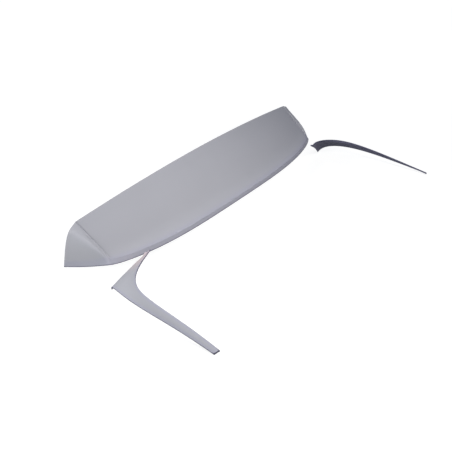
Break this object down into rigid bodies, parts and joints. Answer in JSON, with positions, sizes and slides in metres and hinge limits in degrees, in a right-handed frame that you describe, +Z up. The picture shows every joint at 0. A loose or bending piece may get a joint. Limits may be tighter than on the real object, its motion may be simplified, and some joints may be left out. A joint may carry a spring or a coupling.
{
  "type": "roof spoiler",
  "caption": "Three-piece rear roof spoiler for a car: a long thin-walled blade with deep side cheeks, studs under its front edge, and a pair of curved side fins.",
  "frame": {"origin": "centre of the footprint, at floor level", "axes": "+X runs across the car along the blade, from the left fin to the right fin; -Y points to the rear, where the trailing edge and the fins are; +Z is up from the floor"},
  "size_m": [1.324, 0.6194, 0.204],
  "materials": {
    "primer": "smooth satin light-grey primer on a moulded plastic shell",
    "stud_metal": "plain zinc-plated steel",
    "foam": "matt dark foam strip"
  },
  "bodies": {
    "root": {"blade": "primer", "left_fin": "primer", "right_fin": "primer", "mount_studs": "stud_metal", "front_seal": "foam"}
  },
  "joints": []
}
